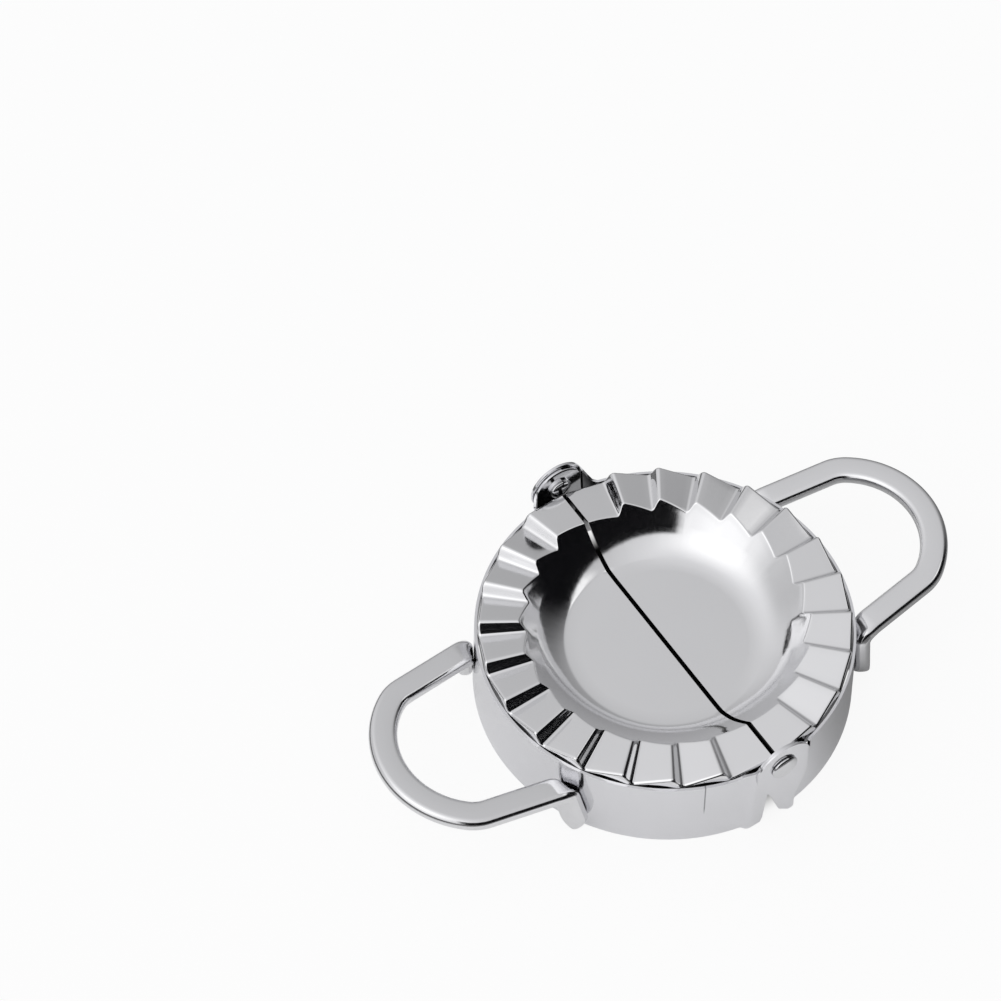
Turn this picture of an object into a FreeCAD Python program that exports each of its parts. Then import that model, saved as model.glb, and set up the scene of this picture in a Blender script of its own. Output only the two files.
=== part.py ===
import FreeCAD, Part
import math
import os

# A dumpling mold of polished sheet steel, open flat on a table.
# Two half moulds meet along a fold that runs along Y. Each is a pressed bowl with a
# pleated rim, a round skirt that it stands on, and a flat loop handle. The skirts carry
# ears that overlap at both ends of the fold, and a rivet through each pair is the hinge.
# Origin: middle of the footprint, on the table. +X is the right half, +Y the far hinge.

Vector = FreeCAD.Vector
ORIGIN = Vector(0, 0, 0)
UP = Vector(0, 0, 1)
ALONG_FOLD = Vector(0, 1, 0)

# Pressed bowl: pleated rim and dish (millimetres, degrees)
rim_radius = 47.5
rim_height = 24.4
bowl_sheet = 0.6
pleat_pitch = 14.82
flanks_each_side = 5
pleat_rise = 3.4
flank_width = 2.1
core_share = 0.8
dish_depth = 9.4
floor_radius = 25.4
knee_radius = 32.0
knee_rise = 4.9
dish_mouth_radius = 39.0
lip_depth = 3.0
fold_gap = 1.4

# Skirt, its ears and the notch under the hinge
skirt_sheet = 0.7
skirt_drop = 1.8
skirt_flare = 1.05
rim_fit = 0.05
hinge_rise = 0.4
outer_ear_radius = 7.8
inner_ear_radius = 6.8
ear_shoulder = 10.5
ear_tip_gap = 0.2
ear_face_gap = 0.15
joggle_gap = 0.1
joggle_slope = 50.0
joggle_outer_bend = 1.6
joggle_inner_bend = 0.9
edge_top_height = 12.0
edge_low_height = 3.2
outer_edge_top = -2.6
outer_edge_low = 0.4
outer_edge_foot = 3.6
inner_edge_top = 3.6
inner_edge_low = 3.6
inner_edge_foot = 4.4

# Hinge rivet and washer
shank_radius = 2.0
shank_clearance = 0.05
head_radius = 3.6
head_thickness = 1.3
head_edge = 0.5
head_flat_radius = 1.9
head_gap = 0.1
washer_radius = 3.4
washer_thickness = 0.5
tail_radius = 2.9
tail_thickness = 0.8
tail_clearance = 0.25

# Loop handle, a flattened bar
bar_width = 7.1
bar_thickness = 4.0
bar_chamfer = 1.1
handle_drop = 7.2
handle_rise = 3.5
foot_angle = 27.3
arm_taper = 8.0
arm_length = 17.1
nose_corner = 10.0
nose_corner_turn = 28.0
foot_bend = 3.2
foot_height = 8.0
foot_gap = 0.05
tab_end_height = 3.0
tab_slant = 20.0
right_handle_skew = 1.9
left_handle_skew = 0.9
twist_sections = 5

overrun = 5.0


def flat(radius, angle, height=0):
    """Point at a radius and a polar angle in degrees."""
    turn = math.radians(angle)
    return Vector(radius * math.cos(turn), radius * math.sin(turn), height)


def line(start, end):
    return Part.LineSegment(start, end).toShape()


def arc(start, middle, end):
    return Part.Arc(start, middle, end).toShape()


def lowered(points, drop):
    """A run of (station, height) points moved down by a sheet thickness, square to each leg."""
    legs = []
    for (near, low), (far, high) in zip(points, points[1:]):
        slope = (high - low) / (far - near)
        legs.append((slope, low - slope * near - drop * math.hypot(1, slope)))
    stations = [points[0][0]]
    for (slope, height), (next_slope, next_height) in zip(legs, legs[1:]):
        stations.append((next_height - height) / (slope - next_slope))
    stations.append(points[-1][0])
    return [
        (station, slope * station + height)
        for station, (slope, height) in zip(stations, legs + legs[-1:])
    ]


def flat_sided_loft(wires):
    """Ruled solid through like wires, with a true plane under every side that is flat."""
    sides = []
    for side in Part.makeLoft(wires, True, True).Faces:
        plane = side.findPlane()
        sides.append(Part.Face(plane, side.OuterWire) if plane else side)
    return Part.Solid(Part.Shell(sides))


# The bowl half

flank_angles = [
    pleat_pitch * step for step in range(-flanks_each_side, flanks_each_side + 1)
]
pleat_angles = [-90.0] + flank_angles + [90.0]
dish_floor = rim_height - dish_depth
block_foot = dish_floor - overrun


def pleat_section(corner_radius, start, end, drop, foot):
    """Upright section of one pleat, square to its middle, under its sloping top.

    Height and width both follow the radius, so that every facet and flank is flat.
    """
    half = math.radians(end - start) / 2
    middle = (start + end) / 2
    outward = flat(1, middle)
    across = flat(1, middle + 90)
    reach = corner_radius * math.cos(half)
    side = corner_radius * math.sin(half)
    share = corner_radius / rim_radius
    flank = flank_width / 2 * share
    rise = pleat_rise / 2 * share
    top = [(-side, rim_height)]
    if start > pleat_angles[0]:
        top.append((flank - side, rim_height - rise))
    if end < pleat_angles[-1]:
        top.append((side - flank, rim_height + rise))
    top.append((side, rim_height))
    outline = lowered(top, drop) + [(side, foot), (-side, foot)]
    return Part.makePolygon(
        [
            outward * reach + across * station + UP * height
            for station, height in outline + outline[:1]
        ]
    )


def bowl_volume(drop, rim, foot):
    """Solid under the bowl's top face, or under its bottom face when lowered by the sheet."""
    core_radius = floor_radius * core_share
    core = Part.makeCylinder(core_radius, dish_floor - foot + overrun, UP * foot)
    blocks = []
    for start, end in zip(pleat_angles, pleat_angles[1:]):
        sections = [
            pleat_section(radius, start, end, drop, foot)
            for radius in (core_radius, rim)
        ]
        blocks.append(flat_sided_loft(sections))
    rim_block = core.multiFuse(blocks)

    crest = rim_height + pleat_rise / 2
    wall = [
        (0, dish_floor),
        (floor_radius, dish_floor),
        (knee_radius, dish_floor + knee_rise),
        (dish_mouth_radius, crest),
    ]
    ceiling = crest + overrun
    edge = rim_radius + overrun
    under = foot - overrun
    run = lowered(wall, drop)
    outline = run + [(run[-1][0], ceiling), (edge, ceiling), (edge, under), (0, under)]
    section = [Vector(radius, 0, height) for radius, height in outline + outline[:1]]
    dish = Part.Face(Part.makePolygon(section)).revolve(ORIGIN, UP, 360)
    return rim_block.common(dish)


def bowl_half():
    """Sheet between the two bowl faces, open along the fold, with a lip round the rim."""
    side = rim_radius + overrun
    top = bowl_volume(0, rim_radius, block_foot)
    right_side = Part.makeBox(
        side, 2 * side, rim_height + pleat_rise, Vector(fold_gap / 2, -side, 0)
    )
    inside = bowl_volume(bowl_sheet, rim_radius - bowl_sheet, block_foot - overrun)
    sheet = top.common(right_side).cut(inside)
    lip_end = rim_height - pleat_rise / 2 - lip_depth
    below_lip = Part.makeCylinder(side, lip_end).cut(
        Part.makeCylinder(dish_mouth_radius, lip_end)
    )
    return sheet.cut(below_lip).removeSplitter()


# The skirt half

skirt_height = rim_height - skirt_drop
hinge_height = rim_height + hinge_rise
skirt_top_radius = rim_radius + rim_fit + skirt_sheet
skirt_base_radius = skirt_top_radius + skirt_flare
skirt_slope = skirt_flare / skirt_height
hinge_radius = skirt_base_radius - skirt_slope * hinge_height
tail_face = rim_radius + tail_clearance
washer_face = tail_face + tail_thickness
inner_ear_face = washer_face + washer_thickness + skirt_sheet
outer_ear_face = inner_ear_face + ear_face_gap + skirt_sheet
ear_top = hinge_height + outer_ear_radius
ear_tip = outer_ear_radius + overrun
joggle_nest = (skirt_sheet + ear_face_gap) * math.tan(math.radians(joggle_slope) / 2)
outer_joggle = inner_ear_radius + ear_tip_gap
inner_joggle = outer_joggle - joggle_nest - joggle_gap
joggle_down = flat(1, -joggle_slope)
joggle_out = flat(1, 90 - joggle_slope)


def joggle_angle(face, joggle):
    """Polar angle where the round skirt ends and the step out to the ear begins."""
    half = math.radians(joggle_slope) / 2
    corner = Vector(joggle + joggle_outer_bend * math.tan(half), face, 0)
    first = corner + joggle_out * joggle_inner_bend
    along = first.dot(joggle_down)
    reach = hinge_radius + joggle_inner_bend
    step = -along - math.sqrt(along**2 - first.Length**2 + reach**2)
    centre = first + joggle_down * step
    return math.degrees(math.atan2(centre.y, centre.x))


def ear_plan(face, angle, height):
    """Plan of the sheet at one height, from the round skirt out to the tip of its ear."""
    radius = skirt_base_radius - skirt_slope * height
    to_circle = flat(1, angle)
    inner_centre = to_circle * (radius + joggle_inner_bend)
    first = inner_centre - joggle_out * joggle_inner_bend
    slope = math.radians(joggle_slope)
    corner_x = first.x - (face - first.y) / math.tan(slope)
    outer_centre = Vector(
        corner_x - joggle_outer_bend * math.tan(slope / 2),
        face - joggle_outer_bend,
        0,
    )
    inner_way = (joggle_out + to_circle).normalize()
    outer_way = (joggle_out + ALONG_FOLD).normalize()
    sides = []
    for inset in (0, skirt_sheet):
        inner_bend = joggle_inner_bend + inset
        outer_bend = joggle_outer_bend - inset
        points = [
            inner_centre - to_circle * inner_bend,
            inner_centre - inner_way * inner_bend,
            inner_centre - joggle_out * inner_bend,
            outer_centre + joggle_out * outer_bend,
            outer_centre + outer_way * outer_bend,
            outer_centre + ALONG_FOLD * outer_bend,
            Vector(-ear_tip, face - inset, 0),
        ]
        sides.append([point + UP * height for point in points])
    edges = []
    for side in sides:
        edges.append(arc(side[0], side[1], side[2]))
        edges.append(line(side[2], side[3]))
        edges.append(arc(side[3], side[4], side[5]))
        edges.append(line(side[5], side[6]))
    outer, inner = sides
    edges.append(line(outer[0], inner[0]))
    edges.append(line(outer[-1], inner[-1]))
    return Part.Wire(Part.__sortEdges__(edges))


def skirt_sheet_blank(face, joggle):
    """Tapered half ring with a sheet at each end that steps out into a flat ear."""
    angle = joggle_angle(face, joggle)
    top_radius = skirt_base_radius - skirt_slope * ear_top
    section = [
        flat(skirt_base_radius, -angle),
        flat(top_radius, -angle, ear_top),
        flat(top_radius - skirt_sheet, -angle, ear_top),
        flat(skirt_base_radius - skirt_sheet, -angle),
    ]
    wall = Part.Face(Part.makePolygon(section + section[:1]))
    ring = wall.revolve(ORIGIN, UP, 2 * angle)
    far_end = flat_sided_loft(
        [ear_plan(face, angle, height) for height in (0, ear_top)]
    )
    return ring.fuse([far_end, far_end.mirror(ORIGIN, ALONG_FOLD)])


def tangent_point(point, centre, radius, side):
    """Where a line from a point touches a circle in the XZ plane, on one side of it."""
    away = point - centre
    spread = math.acos(radius / away.Length) * side
    turn = math.atan2(away.z, away.x) + spread
    return centre + Vector(math.cos(turn), 0, math.sin(turn)) * radius


def skirt_outline(ear_radius, edge_top, edge_low, edge_foot):
    """Side view of the skirt with its ears, as a block along Y that trims the sheet."""
    far_side = skirt_base_radius + overrun
    centre = Vector(0, 0, hinge_height)
    shoulder = Vector(ear_shoulder, 0, skirt_height)
    top = Vector(edge_top, 0, edge_top_height)
    shoulder_touch = tangent_point(shoulder, centre, ear_radius, 1)
    edge_touch = tangent_point(top, centre, ear_radius, -1)
    crown = centre + UP * ear_radius
    corners = [
        edge_touch,
        top,
        Vector(edge_low, 0, edge_low_height),
        Vector(edge_foot, 0, 0),
        Vector(far_side, 0, 0),
        Vector(far_side, 0, skirt_height),
        shoulder,
        shoulder_touch,
    ]
    edges = [line(a, b) for a, b in zip(corners, corners[1:])]
    edges.append(arc(shoulder_touch, crown, edge_touch))
    face = Part.Face(Part.Wire(edges))
    face.translate(ALONG_FOLD * -far_side)
    return face.extrude(ALONG_FOLD * 2 * far_side)


def skirt_half(face, joggle, ear_radius, edge, hole_radius):
    """Skirt sheet trimmed to its ears and its raised end edges, with the rivet holes."""
    blank = skirt_sheet_blank(face, joggle)
    skirt = blank.common(skirt_outline(ear_radius, *edge))
    far_side = skirt_base_radius + overrun
    hole = Part.makeCylinder(
        hole_radius, 2 * far_side, Vector(0, -far_side, hinge_height), ALONG_FOLD
    )
    return skirt.cut(hole).removeSplitter()


# The handle

handle_height = skirt_height - handle_drop
wall_radius = skirt_base_radius - skirt_slope * foot_height + foot_gap
arm_lift = FreeCAD.Rotation(ALONG_FOLD, -handle_rise)


def bar_section(centre, along, across):
    """Section of the flattened bar with its chamfered edges, square to its run."""
    through = along.cross(across)
    half_width = bar_width / 2
    half_thick = bar_thickness / 2
    corners = [
        (half_width - bar_chamfer, half_thick),
        (half_width, half_thick - bar_chamfer),
        (half_width, bar_chamfer - half_thick),
        (half_width - bar_chamfer, -half_thick),
    ]
    corners += [(-a, -b) for a, b in corners]
    return Part.makePolygon(
        [centre + across * a + through * b for a, b in corners + corners[:1]]
    )


def handle_foot(side):
    """Twisted bend from the end of an arm down to the tab that lies on the skirt."""
    level_arm = flat(1, -arm_taper * side)
    arm = arm_lift.multVec(level_arm)
    wall = flat(1, foot_angle * side)
    slant = math.radians(tab_slant)
    down = UP * -math.cos(slant) + UP.cross(wall) * (side * math.sin(slant))
    head = wall * (wall_radius + bar_thickness / 2) + UP * handle_height
    arm_across = UP.cross(level_arm)
    arm_across = arm_lift.multVec(arm_across)
    tab_across = wall.cross(down)
    sections = []
    for index in range(twist_sections):
        share = index / (twist_sections - 1)
        turn = math.radians(90 * share)
        centre = head + arm * (foot_bend * (1 - math.sin(turn)))
        centre += down * (foot_bend * (1 - math.cos(turn)))
        along = (down * math.sin(turn) - arm * math.cos(turn)).normalize()
        ease = share**2 * (3 - 2 * share)
        across = arm_across * (1 - ease) + tab_across * ease
        across = (across - along * across.dot(along)).normalize()
        sections.append(bar_section(centre, along, across))
    bend = flat_sided_loft(sections)

    half = bar_width / 2
    length = (handle_height - tab_end_height) / math.cos(slant)
    bar = Part.Face(sections[-1]).extrude(down * length)
    end = head + down * (length - half)
    top = head - down * overrun
    tongue = [
        line(end + tab_across * half, top + tab_across * half),
        line(top + tab_across * half, top - tab_across * half),
        line(top - tab_across * half, end - tab_across * half),
        arc(end - tab_across * half, end + down * half, end + tab_across * half),
    ]
    face = Part.Face(Part.Wire(tongue))
    face.translate(wall * -bar_thickness)
    return bend, bar.common(face.extrude(wall * 2 * bar_thickness))


def handle(skew):
    """Loop of flattened bar on one half: two arms, two corners and a round nose."""
    wall = flat(1, foot_angle)
    arm = flat(1, -arm_taper)
    start = wall * (wall_radius + bar_thickness / 2) + arm * foot_bend
    start += UP * handle_height
    corner_centre = start + arm * arm_length + flat(nose_corner, -arm_taper - 90)
    nose_half = 90 - arm_taper - nose_corner_turn
    nose_centre = Vector(corner_centre)
    nose_centre.x -= corner_centre.y / math.tan(math.radians(nose_half))
    nose_centre.y = 0

    section = Part.Face(bar_section(start, arm, UP.cross(arm)))
    pieces = []

    def run(length, heading):
        pieces.append(section.extrude(heading * length))
        section.translate(heading * length)

    def turn(centre, angle):
        pieces.append(section.revolve(centre, UP * -1, angle))
        section.rotate(centre, UP * -1, angle)

    run(arm_length, arm)
    turn(corner_centre, nose_corner_turn)
    turn(nose_centre, 2 * nose_half)
    turn(Vector(corner_centre.x, -corner_centre.y, handle_height), nose_corner_turn)
    run(arm_length, flat(-1, arm_taper))
    loop = pieces[0].multiFuse(pieces[1:])
    loop.rotate(start - arm * foot_bend, ALONG_FOLD * -1, handle_rise)
    loop = loop.multiFuse(handle_foot(1) + handle_foot(-1)).removeSplitter()

    lean = math.atan(skirt_slope)
    tilt = math.degrees(math.asin(math.sin(lean) / wall.x))
    pivot = Vector(wall_radius * wall.x, 0, foot_height)
    loop.rotate(pivot, ALONG_FOLD * -1, tilt)
    loop.rotate(ORIGIN, UP, -skew)
    return loop


# The hinge hardware, at the far end of the fold


def turned(profile):
    """Solid turned round the hinge axis from a half section of (radius, station) points."""
    outline = [Vector(radius, station, hinge_height) for radius, station in profile]
    face = Part.Face(Part.makePolygon(outline + outline[:1]))
    return face.revolve(UP * hinge_height, ALONG_FOLD, 360)


def rivet():
    """Rivet with a domed head outside the ears and a peened tail inside the washer."""
    head_face = outer_ear_face + head_gap
    head_top = head_face + head_thickness
    return turned(
        [
            (0, tail_face),
            (tail_radius, tail_face),
            (tail_radius, washer_face),
            (shank_radius, washer_face),
            (shank_radius, head_face),
            (head_radius, head_face),
            (head_radius, head_face + head_edge),
            (head_flat_radius, head_top),
            (0, head_top),
        ]
    )


def washer():
    """Flat washer between the inner ear and the rivet's peened tail."""
    far_face = washer_face + washer_thickness
    return turned(
        [
            (shank_radius, washer_face),
            (washer_radius, washer_face),
            (washer_radius, far_face),
            (shank_radius, far_face),
        ]
    )


def other_half(shape):
    """The same piece turned half round the vertical axis."""
    turned = shape.copy()
    turned.rotate(ORIGIN, UP, 180)
    return turned


def build():
    bowl = bowl_half()
    pin = rivet()
    ring = washer()
    outer_skirt = skirt_half(
        outer_ear_face,
        outer_joggle,
        outer_ear_radius,
        (outer_edge_top, outer_edge_low, outer_edge_foot),
        shank_radius + shank_clearance,
    )
    inner_skirt = skirt_half(
        inner_ear_face,
        inner_joggle,
        inner_ear_radius,
        (inner_edge_top, inner_edge_low, inner_edge_foot),
        shank_radius,
    )
    return {
        "right_bowl": bowl,
        "left_bowl": other_half(bowl),
        "right_skirt": outer_skirt,
        "left_skirt": other_half(inner_skirt),
        "right_handle": handle(right_handle_skew),
        "left_handle": other_half(handle(left_handle_skew)),
        "far_rivet": pin,
        "near_rivet": other_half(pin),
        "far_washer": ring,
        "near_washer": other_half(ring),
    }


os.makedirs("parts", exist_ok=True)
for name, shape in build().items():
    shape.exportStep("parts/" + name + ".step")
    print(name, len(shape.Solids), "solid", round(shape.Volume, 2), shape.isValid())
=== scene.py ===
import math
from collections import namedtuple

import bmesh
import bpy
from mathutils import Matrix, Vector


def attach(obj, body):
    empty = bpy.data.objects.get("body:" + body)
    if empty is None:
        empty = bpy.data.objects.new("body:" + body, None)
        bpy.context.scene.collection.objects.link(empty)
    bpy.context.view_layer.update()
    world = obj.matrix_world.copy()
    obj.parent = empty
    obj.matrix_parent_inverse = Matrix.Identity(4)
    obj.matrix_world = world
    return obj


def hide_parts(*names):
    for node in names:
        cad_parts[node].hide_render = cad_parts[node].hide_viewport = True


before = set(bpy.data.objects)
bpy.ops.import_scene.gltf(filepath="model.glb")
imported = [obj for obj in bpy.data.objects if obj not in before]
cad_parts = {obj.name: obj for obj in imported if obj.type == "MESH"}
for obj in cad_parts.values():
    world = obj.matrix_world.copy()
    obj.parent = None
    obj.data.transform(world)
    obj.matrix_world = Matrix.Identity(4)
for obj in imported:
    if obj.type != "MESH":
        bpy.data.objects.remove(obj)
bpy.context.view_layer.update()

# A dumpling mold of polished steel, open flat. Lengths are in millimetres until a mesh
# is placed; in the finishes, the floor and the room they are in metres.

MM = 0.001
UP = Vector((0, 0, 1))
HALF_TURN = Matrix.Rotation(math.pi, 4, "Z")

# Of the whole mold and its bowls
RIM_RADIUS = 47.5
RIM_HEIGHT = 24.4
HINGE_HEIGHT = 24.8
FOOT_CLEARANCE = 0.04
BOWL_SHEET = 0.6
BOWL_EDGE_ROUND = 0.28
PLEAT_PITCH = 14.82
FLANK_ANGLE = 2.53
PLEAT_RISE = 1.7
CREASE_BLEND = 0.95
DISH_FLOOR = 15.0
KNEE_RADIUS = 32.0
LIP_END = 19.7
LIP_BEND = 0.8
FOLD_EDGE = 0.6
MOUTH_BLEND = 0.3

# Of the skirts
SKIRT_SHEET = 0.7
SKIRT_EDGE_ROUND = 0.18
SKIRT_HEIGHT = 22.6
SKIRT_BASE = 49.3
SKIRT_TAPER = 1.05
SKIRT_SLOPE = SKIRT_TAPER / SKIRT_HEIGHT
EAR_SHOULDER = 9.8
STEP_SLOPE = math.radians(50)
OUTER_BEND = 1.6
INNER_BEND = 0.9
STEP_TOP = 18.0
STEP_LOW = 3.0

# Of the handles
BAR_WIDTH = 7.1
BAR_THICKNESS = 4.0
BAR_ROUND = 1.65
HANDLE_HEIGHT = 15.4
HANDLE_RISE = 3.5
FOOT_ANGLE = 27.3
ARM_TAPER = 8.0
ARM_LENGTH = 17.1
CORNER_RADIUS = 10.0
CORNER_TURN = 28.0
FOOT_BEND = 3.2
TAB_END = 3.0
TAB_SLANT = 20.0
FOOT_HEIGHT = 8.0
FOOT_GAP = 0.05
RIGHT_HANDLE_SKEW = 1.9
LEFT_HANDLE_SKEW = 0.9


def polar(radius, degrees, height=0.0):
    """The point at a distance and a bearing from the middle of the mold."""
    turn = math.radians(degrees)
    return Vector((radius * math.cos(turn), radius * math.sin(turn), height))


def blended_max(a, b, blend):
    """The larger of two heights, with a soft change between them."""
    share = max(blend - abs(a - b), 0) / blend
    return max(a, b) + share * share * blend / 4


def blended_min(a, b, blend):
    """The smaller of two heights, with a soft change between them."""
    return -blended_max(-a, -b, blend)


# The camera, at the photograph's angle

FOCAL_PIXELS = 2403.4
PICTURE_PIXELS = 1001
SENSOR_WIDTH = 36
CAMERA_PLACE = Vector((-204.595, -265.893, 532.497))
CAMERA_SIGHT = Vector((0.301153, 0.508304, -0.806805)).normalized()
CAMERA_RIGHT = Vector((0.846042, -0.532748, -0.019839)).normalized()

camera_data = bpy.data.cameras.new("camera")
camera_data.lens = FOCAL_PIXELS * SENSOR_WIDTH / PICTURE_PIXELS
camera_data.clip_start = 0.01
camera_data.clip_end = 20
camera = bpy.data.objects.new("camera", camera_data)
bpy.context.scene.collection.objects.link(camera)
camera_top = CAMERA_RIGHT.cross(CAMERA_SIGHT)
camera_turn = Matrix((CAMERA_RIGHT, camera_top, -CAMERA_SIGHT)).transposed().to_4x4()
camera.matrix_world = Matrix.Translation(CAMERA_PLACE * MM) @ camera_turn
bpy.context.scene.camera = camera


# Short ways to place and join shader nodes


def fill(tree, sockets, values):
    """Gives each socket its value, or joins it to the output that is given for it."""
    for socket, value in zip(sockets, values):
        if isinstance(value, bpy.types.NodeSocket):
            tree.links.new(value, socket)
        else:
            socket.default_value = value


def put(tree, kind, settings=None, **inputs):
    """A new node; an underscore in an input's name stands for a space."""
    node = tree.nodes.new("ShaderNode" + kind)
    for name, value in (settings or {}).items():
        setattr(node, name, value)
    sockets = [node.inputs[name.replace("_", " ")] for name in inputs]
    fill(tree, sockets, inputs.values())
    return node


def calculate(tree, operation, *values):
    """One step of arithmetic on numbers."""
    step = put(tree, "Math", {"operation": operation})
    fill(tree, step.inputs, values)
    return step.outputs["Value"]


def measure(tree, operation, *vectors):
    """One number from one or two vectors."""
    step = put(tree, "VectorMath", {"operation": operation})
    fill(tree, step.inputs, vectors)
    return step.outputs["Value"]


def ramp(tree, source, start, end, interpolation="SMOOTHSTEP"):
    """A step from 0 at the start to 1 at the end."""
    first, last = (0.0, 1.0) if start < end else (1.0, 0.0)
    step = put(
        tree,
        "MapRange",
        {"interpolation_type": interpolation},
        Value=source,
        From_Min=min(start, end),
        From_Max=max(start, end),
        To_Min=first,
        To_Max=last,
    )
    return step.outputs["Result"]


def tinted(tree, share, first, second):
    """A colour between two colours."""
    mix = put(tree, "Mix", {"data_type": "RGBA"}, Factor=share, A=first, B=second)
    return mix.outputs["Result"]


def layered(tree, share, first, second):
    """Two shaders in one; where the share is 1, only the second shows."""
    mix = put(tree, "MixShader")
    fill(tree, mix.inputs, (share, first, second))
    return mix.outputs["Shader"]


def grey(level, blue=None):
    """An even colour, with its blue a little apart where that is given."""
    return (level, level, level if blue is None else blue, 1)


# Finishes

GRAIN_DETAIL = 6
GRAIN_ROUGHNESS = 0.65
GRAIN_RANGE = (0.3, 0.7)
CLOUD_SCALE = 38
CLOUD_DETAIL = 3
CLOUD_SHARE = 0.96
RIPPLE_DEPTH = 0.00002


def polished_steel(name, tint, gloss, grain_scale, stretch, dent):
    """Polished stainless: fine polishing lines in the gloss and a faint unevenness."""
    material = bpy.data.materials.new(name)
    material.use_nodes = True
    tree = material.node_tree
    place = put(tree, "TexCoord").outputs["Object"]
    stretched = put(tree, "Mapping", Vector=place, Scale=stretch).outputs["Vector"]
    grain = put(
        tree,
        "TexNoise",
        Vector=stretched,
        Scale=grain_scale,
        Detail=GRAIN_DETAIL,
        Roughness=GRAIN_ROUGHNESS,
    ).outputs["Fac"]
    roughness = put(
        tree,
        "MapRange",
        Value=grain,
        From_Min=GRAIN_RANGE[0],
        From_Max=GRAIN_RANGE[1],
        To_Min=gloss[0],
        To_Max=gloss[1],
    ).outputs["Result"]
    cloud = put(tree, "TexNoise", Vector=place, Scale=CLOUD_SCALE, Detail=CLOUD_DETAIL)
    shade = tuple(part * CLOUD_SHARE for part in tint)
    colour = tinted(tree, cloud.outputs["Fac"], (*shade, 1), (*tint, 1))
    ripple = put(tree, "Bump", Strength=dent, Distance=RIPPLE_DEPTH, Height=grain)
    steel = tree.nodes["Principled BSDF"]
    steel.inputs["Metallic"].default_value = 1.0
    steel.inputs["IOR"].default_value = 2.2
    tree.links.new(colour, steel.inputs["Base Color"])
    tree.links.new(roughness, steel.inputs["Roughness"])
    tree.links.new(ripple.outputs["Normal"], steel.inputs["Normal"])
    return material


# How the polishing lines run: a low number draws them out in that direction.
EVEN = (1, 1, 1)
UPRIGHT = (1, 1, 0.15)

sheet_steel = polished_steel(
    "polished_sheet",
    tint=(0.80, 0.80, 0.81),
    gloss=(0.07, 0.13),
    grain_scale=900,
    stretch=EVEN,
    dent=0.10,
)
skirt_steel = polished_steel(
    "polished_skirt",
    tint=(0.78, 0.78, 0.80),
    gloss=(0.08, 0.14),
    grain_scale=700,
    stretch=UPRIGHT,
    dent=0.12,
)
handle_steel = polished_steel(
    "polished_bar",
    tint=(0.78, 0.78, 0.79),
    gloss=(0.10, 0.18),
    grain_scale=900,
    stretch=EVEN,
    dent=0.12,
)
rivet_steel = polished_steel(
    "rivet_steel",
    tint=(0.72, 0.72, 0.73),
    gloss=(0.07, 0.15),
    grain_scale=1500,
    stretch=EVEN,
    dent=0.15,
)

SEAM_ANGLE = -112.7
SEAM_LOW = 10.7
SEAM_FADE = 2.5
SEAM_WIDTH = 0.22
SEAM_CORE = 0.4
SEAM_TONE = (0.3, 0.3, 0.31, 1)


def seamed_steel():
    """The left skirt's steel, with the thin upright line where its strip is joined."""
    material = skirt_steel.copy()
    material.name = "polished_skirt_seam"
    tree = material.node_tree
    place = put(tree, "TexCoord").outputs["Object"]
    off = measure(tree, "DOT_PRODUCT", place, polar(1, SEAM_ANGLE + 90))
    aside = calculate(tree, "ABSOLUTE", off)
    near = ramp(tree, aside, SEAM_WIDTH * MM, SEAM_WIDTH * MM * SEAM_CORE, "LINEAR")
    height = put(tree, "SeparateXYZ", Vector=place).outputs["Z"]
    above = ramp(tree, height, SEAM_LOW * MM, (SEAM_LOW + SEAM_FADE) * MM, "LINEAR")
    colour = tree.nodes["Principled BSDF"].inputs["Base Color"]
    plain = colour.links[0].from_socket
    line = tinted(tree, calculate(tree, "MULTIPLY", near, above), plain, SEAM_TONE)
    tree.links.new(line, colour)
    return material


# Finishing a piece


def finish_piece(name, bm, body, node, material, turned):
    """Scales a millimetre mesh, hangs it on its half and lets it stand for its node."""
    bm.transform(Matrix.Scale(MM, 4))
    if turned:
        bm.transform(HALF_TURN)
    mesh = bpy.data.meshes.new(name)
    bm.to_mesh(mesh)
    bm.free()
    mesh.shade_smooth()
    mesh.materials.append(material)
    piece = bpy.data.objects.new(name, mesh)
    bpy.context.scene.collection.objects.link(piece)
    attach(piece, body)
    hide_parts(node)
    return piece


CUT_EDGE_ANGLE = math.radians(55)


def give_thickness(piece, thickness, edge_round):
    """Sheet thickness under the shown face, with the cut edges broken."""
    sheet = piece.modifiers.new("sheet", "SOLIDIFY")
    sheet.thickness = thickness * MM
    sheet.offset = -1
    sheet.use_even_offset = True
    sheet.thickness_clamp = 0
    edges = piece.modifiers.new("edges", "BEVEL")
    edges.width = edge_round * MM
    edges.segments = 3
    edges.limit_method = "ANGLE"
    edges.angle_limit = CUT_EDGE_ANGLE
    level = piece.modifiers.new("level", "WEIGHTED_NORMAL")
    level.keep_sharp = False


def face_up(bm, point_inside):
    """Turns an open sheet's faces to look away from a point inside the mold."""
    bmesh.ops.recalc_face_normals(bm, faces=bm.faces)
    bm.faces.ensure_lookup_table()
    away = sum(
        (face.calc_center_median() - point_inside).dot(face.normal) * face.calc_area()
        for face in bm.faces
    )
    if away < 0:
        bmesh.ops.reverse_faces(bm, faces=bm.faces)


# The pressed bowls

flank_centres = [PLEAT_PITCH * step for step in range(-5, 6)]
pleat_edges = [-90.0, *flank_centres, 90.0]
crease_points = [(-90.0, 0.0)]
for centre in flank_centres:
    crease_points.append((centre - FLANK_ANGLE / 2, PLEAT_RISE))
    crease_points.append((centre + FLANK_ANGLE / 2, -PLEAT_RISE))
crease_points.append((90.0, 0.0))


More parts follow.
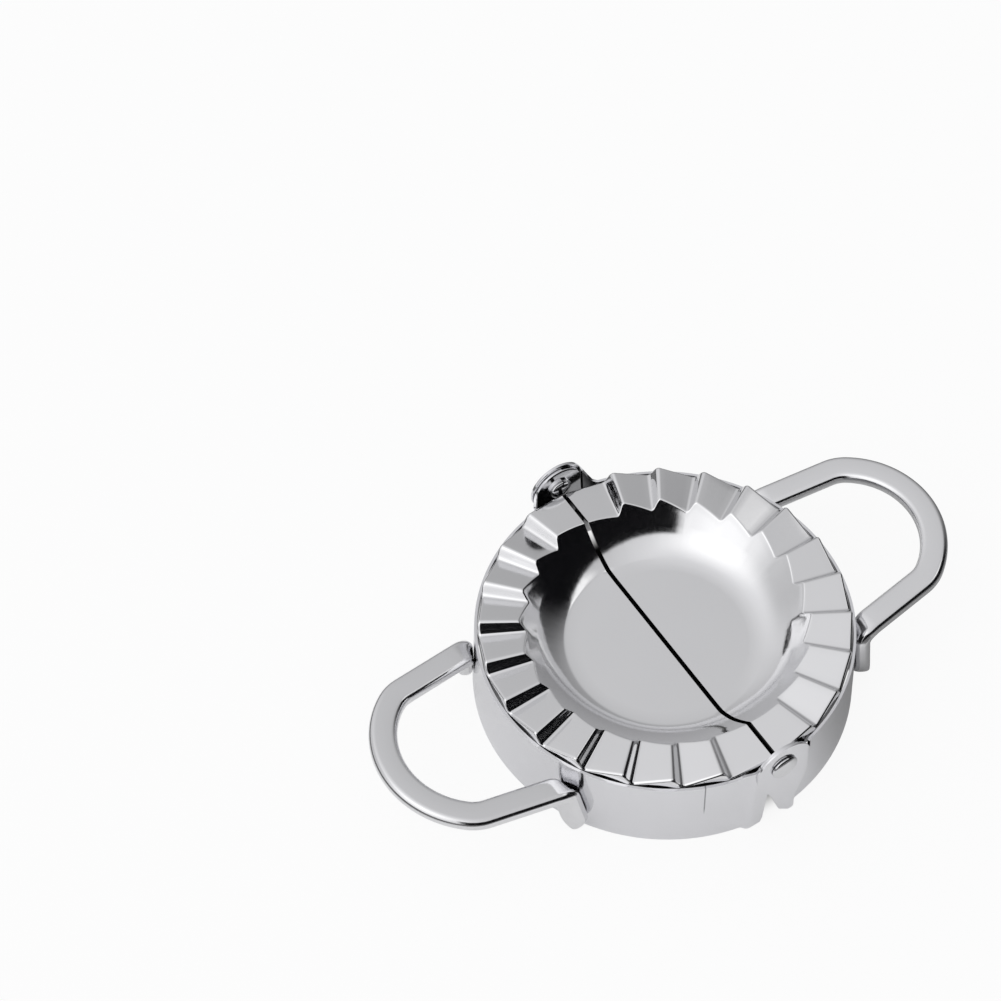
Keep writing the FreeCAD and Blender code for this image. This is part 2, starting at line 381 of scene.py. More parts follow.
def pleat_height(degrees):
    """Height of the pleated rim above its middle at the rim's edge, creases rounded."""
    (start, level), (first, height) = crease_points[:2]
    slope = (height - level) / (first - start)
    total = level + slope * (degrees - start)
    for before, here, after in zip(crease_points, crease_points[1:], crease_points[2:]):
        old = (here[1] - before[1]) / (here[0] - before[0])
        new = (after[1] - here[1]) / (after[0] - here[0])
        past = degrees - here[0]
        if past > CREASE_BLEND:
            total += (new - old) * past
        elif past > -CREASE_BLEND:
            total += (new - old) * (past + CREASE_BLEND) ** 2 / (4 * CREASE_BLEND)
    return total


def pleat_chord(degrees):
    """How far the straight edge of a pleat cuts inside the rim's circle."""
    for start, end in zip(pleat_edges, pleat_edges[1:]):
        if start <= degrees <= end:
            half = math.radians(end - start) / 2
            off = math.radians(degrees - (start + end) / 2)
            return math.cos(half) / math.cos(off)
    return 1.0


WALL_SLOPE = 1.0
WALL_STEEPENS = 0.03
STEEP_END = 12.0
FLOOR_START = 21.9
SOFT_ANGLE = 50.0
CRISP_ANGLE = 78.0
WALL_END = (KNEE_RADIUS + STEEP_END, WALL_SLOPE + 2 * WALL_STEEPENS * STEEP_END)
SOFT_BENDS = [(FLOOR_START, 0.0), (KNEE_RADIUS, WALL_SLOPE), WALL_END]
CRISP_BENDS = [
    (FLOOR_START, 0.0),
    (25.1, 0.1),
    (25.7, 0.45),
    (KNEE_RADIUS, WALL_SLOPE),
    WALL_END,
]


def bent_height(bends, radius):
    """Height along a wall whose slope changes evenly between its bends."""
    height = DISH_FLOOR
    for (start, slope), (end, last_slope) in zip(bends, bends[1:]):
        past = min(radius, end) - start
        if past > 0:
            change = (last_slope - slope) * past**2 / (2 * (end - start))
            height += slope * past + change
    return height


KNEE_HEIGHT = bent_height(CRISP_BENDS, KNEE_RADIUS)
SOFT_LIFT = KNEE_HEIGHT - bent_height(SOFT_BENDS, KNEE_RADIUS)


def dish_wall(radius, softness):
    """Height of the dish: flat floor and wall, with a crisp or a soft bend between."""
    crisp = bent_height(CRISP_BENDS, radius)
    rise = min(max((radius - FLOOR_START) / (KNEE_RADIUS - FLOOR_START), 0), 1)
    soft = bent_height(SOFT_BENDS, radius) + SOFT_LIFT * rise**2 * (3 - 2 * rise)
    return crisp + (soft - crisp) * softness


def bend_softness(degrees, turned):
    """The left bowl has a crisp floor line all round, the right only at its ends."""
    if turned:
        return 0.0
    share = (CRISP_ANGLE - abs(degrees)) / (CRISP_ANGLE - SOFT_ANGLE)
    share = min(max(share, 0), 1)
    return share**2 * (3 - 2 * share)


def mouth_edge(degrees):
    """Radius where the dish wall meets the pleats."""
    rise = pleat_height(degrees) / RIM_RADIUS
    lead = WALL_SLOPE - rise
    gap = RIM_HEIGHT + rise * KNEE_RADIUS - KNEE_HEIGHT
    past = math.sqrt(lead**2 + 4 * WALL_STEEPENS * gap) - lead
    return KNEE_RADIUS + past / (2 * WALL_STEEPENS)


def rim_columns():
    """Angles of the bowl's columns, close together at the creases."""
    angles = {-90.0, 90.0}
    for here, _ in crease_points[1:-1]:
        for share in (-1, -0.6, -0.2, 0.2, 0.6, 1):
            angles.add(here + share * CREASE_BLEND)
    for start, end in zip(pleat_edges, pleat_edges[1:]):
        low = start + FLANK_ANGLE / 2 + CREASE_BLEND
        high = end - FLANK_ANGLE / 2 - CREASE_BLEND
        for share in (0.2, 0.4, 0.6, 0.8):
            angles.add(low + share * (high - low))
    return sorted(angles)


DISH_ROWS = [0.3, 8, 15, 21.7, 21.9, 23, 24, 24.8, 25.1, 25.3, 25.5, 25.7]
DISH_ROWS += [26.1, 26.8, 27.5, 28.2, 28.9, 29.5, 30.1, 30.7, 31.3, 31.9, 32.5]
MOUTH_ROWS = [-1.4, -0.9, -0.55, -0.3, -0.1, 0.1, 0.3, 0.55, 0.9, 1.4]
PLEAT_SHARES = [0.2, 0.4, 0.6, 0.8, 1.0]
LIP_TURNS = [18, 36, 54, 72, 90]
LIP_ROWS = 4
FLAT_RADIUS = 21.8
BELOW_BOWL = Vector((25, 0, -60))


def bowl_section(degrees, turned):
    """Points of the bowl's shown face at one angle, from the middle to the lip."""
    softness = bend_softness(degrees, turned)
    edge = mouth_edge(degrees)
    rim = RIM_RADIUS * pleat_chord(degrees)
    shelf = rim - LIP_BEND
    crown = RIM_HEIGHT + pleat_height(degrees)
    points = [(radius, dish_wall(radius, softness)) for radius in DISH_ROWS]
    mouth = [edge + past for past in MOUTH_ROWS]
    start = mouth[-1]
    pleats = [start + (shelf - start) * share for share in PLEAT_SHARES]
    for radius in mouth + pleats:
        pleat = RIM_HEIGHT + pleat_height(degrees) * radius / RIM_RADIUS
        wall = dish_wall(radius, softness)
        points.append((radius, blended_min(pleat, wall, MOUTH_BLEND)))
    for bend in LIP_TURNS:
        turn = math.radians(bend)
        out = shelf + LIP_BEND * math.sin(turn)
        points.append((out, crown - LIP_BEND * (1 - math.cos(turn))))
    for row in range(1, LIP_ROWS + 1):
        share = row / LIP_ROWS
        points.append((rim, (crown - LIP_BEND) * (1 - share) + LIP_END * share))
    return [polar(radius, degrees, height) for radius, height in points]


def press_bowl(side, turned):
    """Half dish with its pleated rim: a spun disc, drawn to the dish and the pleats."""
    sections = [bowl_section(degrees, turned) for degrees in rim_columns()]
    bm = bmesh.new()
    line = [bm.verts.new((row + 1, 0, 0)) for row in range(len(sections[0]))]
    edges = [bm.edges.new(pair) for pair in zip(line, line[1:])]
    steps = len(sections) - 1
    bmesh.ops.rotate(bm, verts=line, matrix=Matrix.Rotation(-math.pi / 2, 3, "Z"))
    bmesh.ops.spin(
        bm, geom=line + edges, axis=UP, angle=math.pi, steps=steps, use_merge=False
    )
    for vert in bm.verts:
        row = round(vert.co.length) - 1
        turn = math.degrees(math.atan2(vert.co.y, vert.co.x))
        column = round((turn + 90) / 180 * steps)
        vert.co = sections[column][row]
    bmesh.ops.bisect_plane(
        bm,
        geom=bm.verts[:] + bm.edges[:] + bm.faces[:],
        plane_co=(FOLD_EDGE, 0, 0),
        plane_no=(-1, 0, 0),
        clear_outer=True,
        dist=1e-6,
    )
    flat = [f for f in bm.faces if all(v.co.xy.length < FLAT_RADIUS for v in f.verts)]
    bmesh.ops.dissolve_faces(bm, faces=flat, use_verts=True)
    face_up(bm, BELOW_BOWL)
    piece = finish_piece(
        side + "_bowl_sheet",
        bm,
        side + "_half",
        side + "_bowl",
        sheet_steel,
        turned,
    )
    give_thickness(piece, BOWL_SHEET, BOWL_EDGE_ROUND)


press_bowl("right", False)
press_bowl("left", True)


# The skirts

# Of an ear: where its flat face is, where its step starts, how much nearer to the hinge
# the step starts low down, and the radius of its round end.
EarForm = namedtuple("EarForm", "face step_start low_shift radius")


def joggle_angle(form, height):
    """Angle where the round skirt ends and the step out to the ear begins."""
    low = min(max((STEP_TOP - height) / (STEP_TOP - STEP_LOW), 0), 1)
    start = form.step_start - form.low_shift * low**2 * (3 - 2 * low)
    down = Vector((math.cos(STEP_SLOPE), -math.sin(STEP_SLOPE), 0))
    out = Vector((math.sin(STEP_SLOPE), math.cos(STEP_SLOPE), 0))
    corner = Vector((start + OUTER_BEND * math.tan(STEP_SLOPE / 2), form.face, 0))
    first = corner + out * INNER_BEND
    along = first.dot(down)
    reach = SKIRT_BASE - SKIRT_SLOPE * HINGE_HEIGHT + INNER_BEND
    step = -along - math.sqrt(along**2 - first.length_squared + reach**2)
    centre = first + down * step
    return math.degrees(math.atan2(centre.y, centre.x))


RING_STEPS = 36
SMALL_BEND_STEPS = 6
SLOPE_STEPS = 3
EAR_STEPS = 22
EAR_TIP_TURN = 83


def skirt_stations():
    """Columns of half a skirt, from its middle to its ear tip, as named stations."""
    ring, bend, slope, ear = RING_STEPS, SMALL_BEND_STEPS, SLOPE_STEPS, EAR_STEPS
    stations = [("ring", step / ring) for step in range(ring + 1)]
    stations += [("inner", step / bend) for step in range(1, bend + 1)]
    stations += [("slope", step / slope) for step in range(1, slope)]
    stations += [("outer", step / bend) for step in range(bend + 1)]
    stations += [("ear", 90 - 90 * step / ear) for step in range(1, ear)]
    stations += [("ear", -step * EAR_TIP_TURN / ear) for step in range(1, ear + 1)]
    return stations


def skirt_place(station, height, form):
    """Plan point of a station of the skirt's outer face at one height."""
    kind, value = station
    face = form.face
    angle = joggle_angle(form, height)
    radius = SKIRT_BASE - SKIRT_SLOPE * height
    if kind == "ring":
        return polar(radius, angle * value)
    out = Vector((math.sin(STEP_SLOPE), math.cos(STEP_SLOPE), 0))
    inner_centre = polar(radius + INNER_BEND, angle)
    first = inner_centre - out * INNER_BEND
    corner_x = first.x - (face - first.y) / math.tan(STEP_SLOPE)
    bend_x = corner_x - OUTER_BEND * math.tan(STEP_SLOPE / 2)
    outer_centre = Vector((bend_x, face - OUTER_BEND, 0))
    if kind == "inner":
        start = math.radians(angle)
        end = math.pi / 2 - STEP_SLOPE
        turn = start + (end - start) * value
        return inner_centre - Vector((math.cos(turn), math.sin(turn), 0)) * INNER_BEND
    if kind == "slope":
        last = outer_centre + out * OUTER_BEND
        return first.lerp(last, value)
    if kind == "outer":
        start = math.pi / 2 - STEP_SLOPE
        turn = start + (math.pi / 2 - start) * value
        return outer_centre + Vector((math.cos(turn), math.sin(turn), 0)) * OUTER_BEND
    if value > 0:
        return Vector((bend_x * (1 - math.cos(math.radians(value))), face, 0))
    return Vector((form.radius * math.sin(math.radians(value)), face, 0))


def tangent_point(point, radius, side):
    """Where a line from a point touches the ear's circle, as (x, height)."""
    away = point - Vector((0, HINGE_HEIGHT))
    spread = math.acos(radius / away.length) * side
    turn = math.atan2(away.y, away.x) + spread
    return Vector((radius * math.cos(turn), HINGE_HEIGHT + radius * math.sin(turn)))


def height_on(points, x):
    """Height at x along a run of (x, height) points whose x rises."""
    for start, end in zip(points, points[1:]):
        if x <= end[0]:
            share = (x - start[0]) / (end[0] - start[0])
            return start[1] + (end[1] - start[1]) * share
    return points[-1][1]


SKIRT_ROWS = 18
INSIDE_SKIRT = Vector((10, 0, 12))
FAR_OUT = 99
FIRST_GUESS = 20.0
GUESSES = 3


def skirt_outline(form, low_edge):
    """A function that gives the skirt's lower and upper edge at any x."""
    radius = form.radius
    shoulder = tangent_point(Vector((EAR_SHOULDER, SKIRT_HEIGHT)), radius, 1)
    touch = tangent_point(Vector(low_edge[0]), radius, -1)
    top_line = [tuple(shoulder), (EAR_SHOULDER, SKIRT_HEIGHT), (FAR_OUT, SKIRT_HEIGHT)]
    low_line = [tuple(touch), *low_edge, (FAR_OUT, 0)]

    def outline(x):
        rise = math.sqrt(max(radius * radius - x * x, 0))
        high = HINGE_HEIGHT + rise if x < shoulder.x else height_on(top_line, x)
        low = HINGE_HEIGHT - rise if x < touch.x else height_on(low_line, x)
        return max(low, FOOT_CLEARANCE), high

    return outline


def roll_skirt(side, turned, form, low_edge, steel):
    """Tapered half ring with its stepped ears: a grid drawn to the flat outline."""
    half = skirt_stations()
    stations = [(1, s) for s in reversed(half)] + [(-1, s) for s in half[1:]]
    columns = len(stations) - 1
    outline = skirt_outline(form, low_edge)
    bm = bmesh.new()
    bmesh.ops.create_grid(bm, x_segments=columns, y_segments=SKIRT_ROWS, size=0.5)
    for vert in bm.verts:
        mirror, station = stations[round((vert.co.x + 0.5) * columns)]
        share = vert.co.y + 0.5
        height = FIRST_GUESS
        for _ in range(GUESSES):
            low, high = outline(skirt_place(station, height, form).x)
            height = low + (high - low) * share
        place = skirt_place(station, height, form)
        vert.co = Vector((place.x, place.y * mirror, height))
    bmesh.ops.remove_doubles(bm, verts=bm.verts, dist=1e-5)
    face_up(bm, INSIDE_SKIRT)
    piece = finish_piece(
        side + "_skirt_sheet",
        bm,
        side + "_half",
        side + "_skirt",
        steel,
        turned,
    )
    give_thickness(piece, SKIRT_SHEET, SKIRT_EDGE_ROUND)


INNER_EAR_FACE = 49.75
OUTER_EAR_FACE = 50.6
STEP_START = 7.0
# The inner ears lie one ear's depth further in: their step starts nearer to the hinge.
EAR_DEPTH = 0.85
STEP_PLAY = 0.1
INNER_STEP_START = STEP_START - EAR_DEPTH * math.tan(STEP_SLOPE / 2) - STEP_PLAY
outer_ears = EarForm(
    face=OUTER_EAR_FACE, step_start=STEP_START, low_shift=3.7, radius=7.8
)
inner_ears = EarForm(
    face=INNER_EAR_FACE, step_start=INNER_STEP_START, low_shift=0.0, radius=6.8
)
# The cut edges between the ears and the floor, as (x, height) points
outer_low_edge = [(-2.6, 12), (0.4, 3.2), (3.6, 0)]
inner_low_edge = [(3.6, 12), (3.61, 3.2), (4.4, 0)]
roll_skirt("right", False, outer_ears, outer_low_edge, skirt_steel)
roll_skirt("left", True, inner_ears, inner_low_edge, seamed_steel())


# The handles

CORNER_POINTS = 9


def bar_ring(bm):
    """Closed ring of the flattened bar's rounded section, in the XY plane."""
    made = bmesh.ops.create_circle(bm, segments=4 * CORNER_POINTS, radius=1)["verts"]
    ordered = sorted(made, key=lambda v: math.atan2(v.co.y, v.co.x) % math.tau)
    flat_x = BAR_WIDTH / 2 - BAR_ROUND
    flat_y = BAR_THICKNESS / 2 - BAR_ROUND
    for index, vert in enumerate(ordered):
        quarter, step = divmod(index, CORNER_POINTS)
        turn = math.pi / 2 * (quarter + step / (CORNER_POINTS - 1))
        sign_x = 1 if quarter in (0, 3) else -1
        sign_y = 1 if quarter in (0, 1) else -1
        vert.co = Vector(
            (
                sign_x * flat_x + BAR_ROUND * math.cos(turn),
                sign_y * flat_y + BAR_ROUND * math.sin(turn),
                0,
            )
        )
    return ordered


BEND_STEPS = 12
NOSE_STEPS = 60
ARM_STEPS = 5
TAB_STEPS = 3
TAB_END_TURNS = (12, 24, 36, 48, 60, 70, 78, 84)


def section_place(centre, along, across, width_share=1.0):
    """Matrix that sets the flat section square to the bar's run at a point."""
    through = along.cross(across)
    turn = Matrix((across * width_share, through, along)).transposed().to_4x4()
    return Matrix.Translation(centre) @ turn


WALL_RADIUS = SKIRT_BASE - SKIRT_SLOPE * FOOT_HEIGHT + FOOT_GAP
HEAD_REACH = WALL_RADIUS + BAR_THICKNESS / 2
HEAD = polar(HEAD_REACH, FOOT_ANGLE, HANDLE_HEIGHT)
ON_FOLD = Vector((HEAD.x, 0, HANDLE_HEIGHT))
LIFT = Matrix.Rotation(-math.radians(HANDLE_RISE), 4, "Y")
LIFTED = Matrix.Translation(ON_FOLD) @ LIFT @ Matrix.Translation(-ON_FOLD)


def foot_places(side):
    """Sections from the arm round the twisted bend, down to the tab's rounded end."""
    level_arm = polar(1, -ARM_TAPER * side)
    arm = LIFT @ level_arm
    wall = polar(1, FOOT_ANGLE * side)
    slant = math.radians(TAB_SLANT)
    down = UP * -math.cos(slant) + UP.cross(wall) * (side * math.sin(slant))
    head = wall * HEAD_REACH + UP * HANDLE_HEIGHT
    arm_across = LIFT @ UP.cross(level_arm)
    tab_across = wall.cross(down)
    places = []
    for index in range(BEND_STEPS + 1):
        share = index / BEND_STEPS
        turn = math.radians(90 * share)
        centre = head + arm * (FOOT_BEND * (1 - math.sin(turn)))
        centre += down * (FOOT_BEND * (1 - math.cos(turn)))
        along = (down * math.sin(turn) - arm * math.cos(turn)).normalized()
        ease = share**2 * (3 - 2 * share)
        across = arm_across * (1 - ease) + tab_across * ease
        across = (across - along * across.dot(along)).normalized()
        places.append(section_place(centre, along, across))
    length = (HANDLE_HEIGHT - TAB_END) / math.cos(slant)
    half = BAR_WIDTH / 2
    end = length - half
    for step in range(1, TAB_STEPS + 1):
        centre = head + down * (FOOT_BEND + (end - FOOT_BEND) * step / TAB_STEPS)
        places.append(section_place(centre, down, tab_across))
    for degrees in TAB_END_TURNS:
        turn = math.radians(degrees)
        centre = head + down * (end + half * math.sin(turn))
        places.append(section_place(centre, down, tab_across, math.cos(turn)))
    return places


def loop_places():
    """Sections along the arms, the two corners and the nose, foot to foot."""
    arm = polar(1, -ARM_TAPER)
    start = HEAD + arm * FOOT_BEND
    corner = start + arm * ARM_LENGTH + polar(CORNER_RADIUS, -ARM_TAPER - 90)
    nose_half = 90 - ARM_TAPER - CORNER_TURN
    nose = Vector(corner)
    nose.x -= corner.y / math.tan(math.radians(nose_half))
    nose.y = 0
    nose_radius = CORNER_RADIUS + (corner - nose).length
    places = []

    def add(point, heading):
        along = polar(-1, heading)
        across = UP.cross(polar(1, heading))
        places.append(LIFTED @ section_place(point, along, across))

    for step in range(1, ARM_STEPS):
        add(start + arm * (ARM_LENGTH * step / ARM_STEPS), -ARM_TAPER)
    for step in range(BEND_STEPS + 1):
        heading = -ARM_TAPER - CORNER_TURN * step / BEND_STEPS
        add(corner + polar(CORNER_RADIUS, heading + 90), heading)
    for step in range(1, NOSE_STEPS):
        heading = -ARM_TAPER - CORNER_TURN - 2 * nose_half * step / NOSE_STEPS
        add(nose + polar(nose_radius, heading + 90), heading)
    far_corner = Vector((corner.x, -corner.y, corner.z))
    for step in range(BEND_STEPS, -1, -1):
        heading = -180 + ARM_TAPER + CORNER_TURN * step / BEND_STEPS
        add(far_corner + polar(CORNER_RADIUS, heading + 90), heading)
    far_arm = polar(1, ARM_TAPER)
    far_start = Vector((start.x, -start.y, start.z))
    for step in range(ARM_STEPS - 1, 0, -1):
        add(far_start + far_arm * (ARM_LENGTH * step / ARM_STEPS), -180 + ARM_TAPER)
    flip = Matrix.Rotation(math.pi, 4, "Y")
    far_foot = [place @ flip for place in foot_places(-1)]
    return foot_places(1)[::-1] + places + far_foot


def bend_handle(side, skew, turned):
    """Loop handle: one section of the bar drawn along its whole run."""
    places = loop_places()
    bm = bmesh.new()
    ring = bar_ring(bm)
    edges = bm.edges[:]
    bmesh.ops.transform(bm, verts=ring, matrix=places[0])
    bmesh.ops.contextual_create(bm, geom=edges)
    for old, new in zip(places, places[1:]):
        grown = bmesh.ops.extrude_edge_only(bm, edges=edges)["geom"]
        ring = [g for g in grown if isinstance(g, bmesh.types.BMVert)]
        edges = [
            g
            for g in grown
            if isinstance(g, bmesh.types.BMEdge) and all(v in ring for v in g.verts)
        ]
        bmesh.ops.transform(bm, verts=ring, matrix=new @ old.inverted())
    bmesh.ops.contextual_create(bm, geom=edges)
    bmesh.ops.recalc_face_normals(bm, faces=bm.faces)
    lean = math.atan(SKIRT_SLOPE)
    wall = polar(1, FOOT_ANGLE)
    tilt = math.asin(math.sin(lean) / wall.x)
    pivot = Vector((WALL_RADIUS * wall.x, 0, FOOT_HEIGHT))
    bmesh.ops.rotate(
        bm, verts=bm.verts, cent=pivot, matrix=Matrix.Rotation(-tilt, 3, "Y")
    )
    bmesh.ops.rotate(
        bm, verts=bm.verts, matrix=Matrix.Rotation(-math.radians(skew), 3, "Z")
    )
    finish_piece(
        side + "_handle_bar",
        bm,
        side + "_half",
        side + "_handle",
        handle_steel,
        turned,
    )


bend_handle("right", RIGHT_HANDLE_SKEW, False)
bend_handle("left", LEFT_HANDLE_SKEW, True)


# The rivets and washers

ROUND_STEPS = 64


def turn_round(profile):
    """Solid turned round the hinge axis from (radius, station) points along Y."""
    bm = bmesh.new()
    line = [bm.verts.new((radius, station, 0)) for radius, station in profile]
    edges = [bm.edges.new(pair) for pair in zip(line, line[1:])]
    bmesh.ops.spin(
        bm,
        geom=line + edges,
        axis=(0, 1, 0),
        angle=math.tau,
        steps=ROUND_STEPS,
        use_merge=True,
    )
    bmesh.ops.remove_doubles(bm, verts=bm.verts, dist=1e-4)
    bmesh.ops.recalc_face_normals(bm, faces=bm.faces)
    bmesh.ops.translate(bm, verts=bm.verts, vec=UP * HINGE_HEIGHT)
    return bm


# The rivet's outline as (radius, place along the hinge), the head's from its own foot
TAIL_PROFILE = [(0, 47.75), (1.2, 47.76), (2.2, 47.85), (2.7, 48.05), (2.9, 48.3)]
TAIL_PROFILE += [(2.9, 48.5), (2.85, 48.55), (2.0, 48.55)]
HEAD_PROFILE = [(2.0, 0), (3.4, 0), (3.55, 0.06), (3.6, 0.2), (3.58, 0.42)]
HEAD_PROFILE += [(3.46, 0.6), (3.2, 0.78), (2.7, 0.98), (2.0, 1.15), (1.2, 1.26)]
HEAD_PROFILE += [(0.5, 1.3), (0, 1.3)]
HEAD_GAP = 0.1


def head_rivet(end, turned):
    """Domed head outside the ears, shank through them and a peened tail inside."""
    head = OUTER_EAR_FACE + HEAD_GAP
    profile = TAIL_PROFILE + [(radius, head + rise) for radius, rise in HEAD_PROFILE]
    finish_piece(
        end + "_rivet_turned",
        turn_round(profile),
        "left_half",
        end + "_rivet",
        rivet_steel,
        turned,
    )


head_rivet("far", False)
head_rivet("near", True)
for name in ("far_washer", "near_washer"):
    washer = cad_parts[name]
    washer.data.materials.clear()
    washer.data.materials.append(rivet_steel)


# The floor, the room and the cards


def stage_piece(name, bm, material):
    """Puts a piece of the studio in the scene."""
    mesh = bpy.data.meshes.new(name)
    bm.to_mesh(mesh)
    bm.free()
    mesh.materials.append(material)
    piece = bpy.data.objects.new(name, mesh)
    bpy.context.scene.collection.objects.link(piece)
    return piece


FLOOR_HALF = 3
FLOOR_TONE = 0.93
# Painted shadow under the left half and the fold: its tone, and where it ends all round
# and at right
UNDER_SHADOW_TONE = 0.02
UNDER_EDGE = (0.042, 0.049)
UNDER_RIGHT_EDGE = (0.0100, 0.0125)
# How much of the floor's own white the camera sees, and how much of it the steel
SEEN_WHITE = 0.9
MIRRORED_WHITE = 0.25
# Painted shade on the floor that only the steel sees, far from the mold and on the
# shaded side
MIRRORED_SHADE_TONE = 0.06
FAR_EDGE = (0.095, 0.12)
FAR_SHARE = 0.85
SHADE_AZIMUTH = -28
SHADE_EDGE = (0.6, 1.0)
SHADE_SHARE = 0.6


def white_paper():
    """Paper that the camera sees as white, with painted shadow under the left half and
    the fold, and painted shade seen only in the steel.
    """
    paper = bpy.data.materials.new("white_paper")
    paper.use_nodes = True
    tree = paper.node_tree
    tree.nodes.clear()
    ray = put(tree, "LightPath").outputs
    place = put(tree, "TexCoord").outputs["Object"]
    reach = measure(tree, "LENGTH", place)
    across = put(tree, "SeparateXYZ", Vector=place).outputs["X"]
    # Painted shadow: the floor's colour goes nearly black under the left half and just
    # right of the fold.
    outside = ramp(tree, reach, *UNDER_EDGE)
    right_of_fold = ramp(tree, across, *UNDER_RIGHT_EDGE)
    clear = calculate(tree, "MAXIMUM", outside, right_of_fold)
    tone = tinted(tree, clear, grey(UNDER_SHADOW_TONE), grey(FLOOR_TONE))
    matte = put(tree, "BsdfDiffuse", Color=tone).outputs["BSDF"]
    white = put(tree, "Emission", Color=grey(1)).outputs["Emission"]
    mirrored = calculate(tree, "MULTIPLY", ray["Is Glossy Ray"], MIRRORED_WHITE)
    seen = calculate(tree, "MULTIPLY_ADD", ray["Is Camera Ray"], SEEN_WHITE, mirrored)
    near_floor = layered(tree, calculate(tree, "MULTIPLY", seen, clear), matte, white)
    # Painted shade for the steel's reflections: the floor goes dark far out and on the
    # shaded side.
    far = calculate(tree, "MULTIPLY", ramp(tree, reach, *FAR_EDGE), FAR_SHARE)
    aside = put(tree, "VectorMath", {"operation": "NORMALIZE"}, Vector=place)
    bearing = aside.outputs["Vector"]
    aim = measure(tree, "DOT_PRODUCT", bearing, polar(1, SHADE_AZIMUTH))
    shade = calculate(tree, "MULTIPLY", ramp(tree, aim, *SHADE_EDGE), SHADE_SHARE)
    either = calculate(tree, "MAXIMUM", far, shade)
    dim = calculate(tree, "MULTIPLY", either, ray["Is Glossy Ray"])
    dark = put(tree, "BsdfDiffuse", Color=grey(MIRRORED_SHADE_TONE)).outputs["BSDF"]
    put(tree, "OutputMaterial", Surface=layered(tree, dim, near_floor, dark))
    return paper


bm = bmesh.new()
bmesh.ops.create_grid(bm, x_segments=1, y_segments=1, size=FLOOR_HALF)
stage_piece("floor", bm, white_paper())

# The room is brighter above and to the left, as under a tent with one window side.
ROOM_LEVEL = 0.61
ROOM_LEAN = (-0.34, 0.01, 0.225)
ROOM_TINT = grey(0.985, blue=1.0)

world = bpy.data.worlds.new("studio")
bpy.context.scene.world = world
world.use_nodes = True
tree = world.node_tree
tree.nodes.clear()
towards = put(tree, "TexCoord").outputs["Generated"]
lean = measure(tree, "DOT_PRODUCT", towards, ROOM_LEAN)
level = calculate(tree, "ADD", lean, ROOM_LEVEL)
sky = put(tree, "Background", Color=ROOM_TINT, Strength=level).outputs["Background"]
put(tree, "OutputWorld", Surface=sky)


def card_finish(name, share_at, shader, **look):
    """A card's finish: a shader where the share is 1, and clear where it is 0."""
    material = bpy.data.materials.new(name)
    material.use_nodes = True
    tree = material.node_tree
    tree.nodes.clear()
    share = share_at(tree, put(tree, "UVMap").outputs["UV"])
    clear = put(tree, "BsdfTransparent").outputs["BSDF"]
    shown = put(tree, shader, **look).outputs[0]
    put(tree, "OutputMaterial", Surface=layered(tree, share, clear, shown))
    return material


def hang_card(name, bm, material):
    """A card that is seen only in the steel."""
    card = stage_piece(name, bm, material)
    card.visible_camera = False
    card.visible_shadow = False
    return card


def hang_bent_card(name, bearings, rises, radius, material):
    """A card bent round the mold, which lights and shades only mirrors."""
    bm = bmesh.new()
    bm.loops.layers.uv.new("UVMap")
    bmesh.ops.create_grid(bm, x_segments=40, y_segments=12, size=0.5, calc_uvs=True)
    start, end = bearings
    low, high = rises
    for vert in bm.verts:
        bearing = start + (end - start) * (vert.co.x + 0.5)
        rise = math.radians(low + (high - low) * (vert.co.y + 0.5))
        vert.co = polar(radius * math.cos(rise), bearing, radius * math.sin(rise))
    hang_card(name, bm, material).visible_diffuse = False


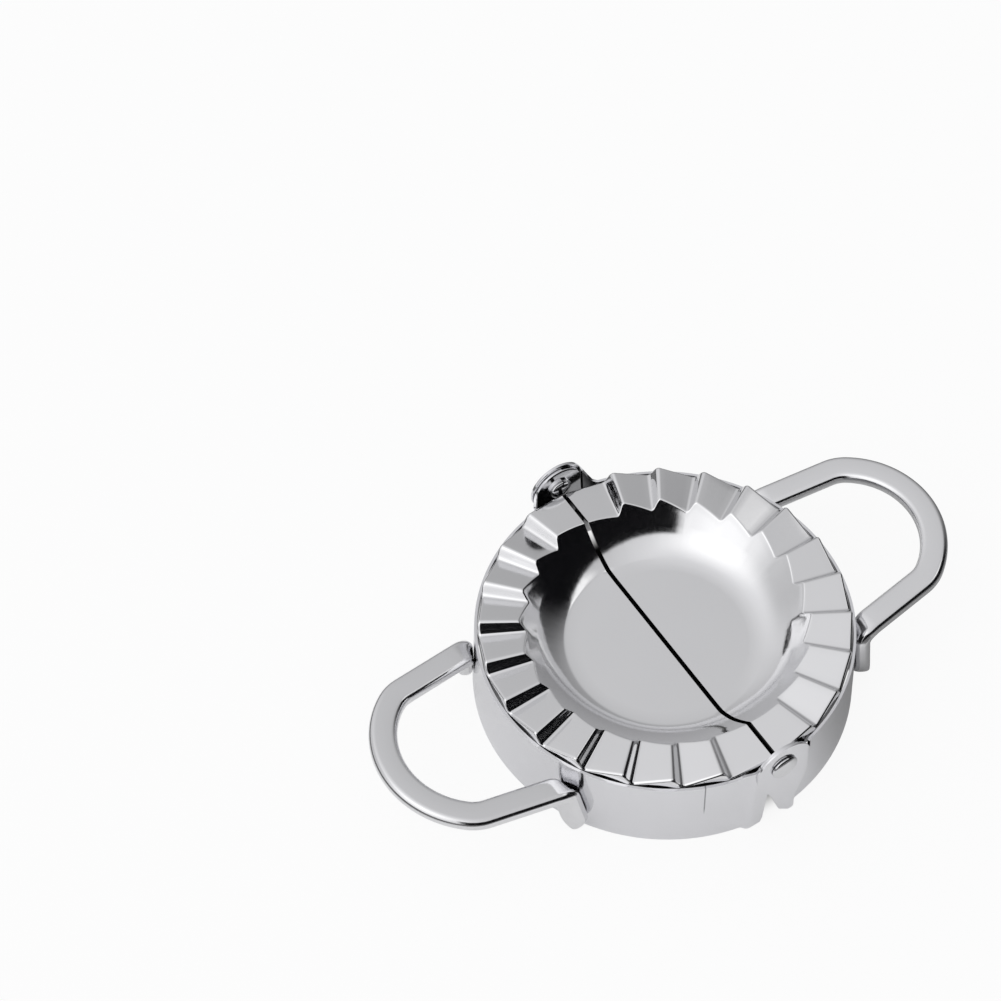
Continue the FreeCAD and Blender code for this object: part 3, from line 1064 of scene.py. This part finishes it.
def faded(near, far, low, top, most=1.0):
    """A share that fades over the given parts of a card's length and height."""

    def share_at(tree, place):
        split = put(tree, "SeparateXYZ", Vector=place).outputs
        near_end = ramp(tree, split["X"], 0.0, near)
        far_end = ramp(tree, split["X"], 1.0, 1.0 - far)
        low_edge = ramp(tree, split["Y"], 0.0, low)
        top_edge = ramp(tree, split["Y"], 1.0, 1.0 - top)
        ends = calculate(tree, "MULTIPLY", near_end, far_end)
        sides = calculate(tree, "MULTIPLY", low_edge, top_edge)
        both = calculate(tree, "MULTIPLY", ends, sides)
        return calculate(tree, "MULTIPLY", both, most)

    return share_at


FELT = grey(0.004, blue=0.005)

# A bent black card behind the camera gives the polished steel its dark reflections.
edges = faded(near=0.04, far=0.28, low=0.05, top=0.1)
felt = card_finish("black_card_felt", edges, "BsdfDiffuse", Color=FELT)
hang_bent_card(
    "black_card", bearings=(-136, 26), rises=(-3, 47), radius=1.1, material=felt
)

# A thinner one on the left greys the right wall of the dish below its pleats.
edges = faded(near=0.45, far=0.45, low=0.2, top=0.6, most=0.3)
felt = card_finish("grey_card_felt", edges, "BsdfDiffuse", Color=FELT)
hang_bent_card(
    "grey_card", bearings=(100, 178), rises=(0, 50), radius=0.95, material=felt
)

# The window is a round glow that fades to its edge.
WINDOW_BEARING = 190
WINDOW_RISE = math.radians(46)
WINDOW_DISTANCE = 1.2
WINDOW_HALF = 1.3
WINDOW_GLOW = 1.4
GLOW_EDGE = (0.5, 0.02)


def round_share(tree, place):
    """A share that falls with the square of a smooth step from the card's middle."""
    fall = ramp(tree, measure(tree, "DISTANCE", place, (0.5, 0.5, 0)), *GLOW_EDGE)
    return calculate(tree, "MULTIPLY", fall, fall)


bm = bmesh.new()
bm.loops.layers.uv.new("UVMap")
bmesh.ops.create_grid(bm, x_segments=1, y_segments=1, size=WINDOW_HALF, calc_uvs=True)
facing = polar(math.cos(WINDOW_RISE), WINDOW_BEARING, math.sin(WINDOW_RISE))
bm.transform(facing.to_track_quat("Z", "Y").to_matrix().to_4x4())
bm.transform(Matrix.Translation(facing * WINDOW_DISTANCE))
glow = card_finish("window_glow", round_share, "Emission", Strength=WINDOW_GLOW)
hang_card("window", bm, glow)

# A strip of light just above the black card draws the white line along rounded edges.
STRIP_GLOW = 1.15
edges = faded(near=0.4, far=0.25, low=0.2, top=0.5)
glow = card_finish("strip_glow", edges, "Emission", Strength=STRIP_GLOW)
hang_bent_card(
    "light_strip", bearings=(-50, 4), rises=(44, 60), radius=1.0, material=glow
)

bpy.context.scene.view_settings.view_transform = "Standard"
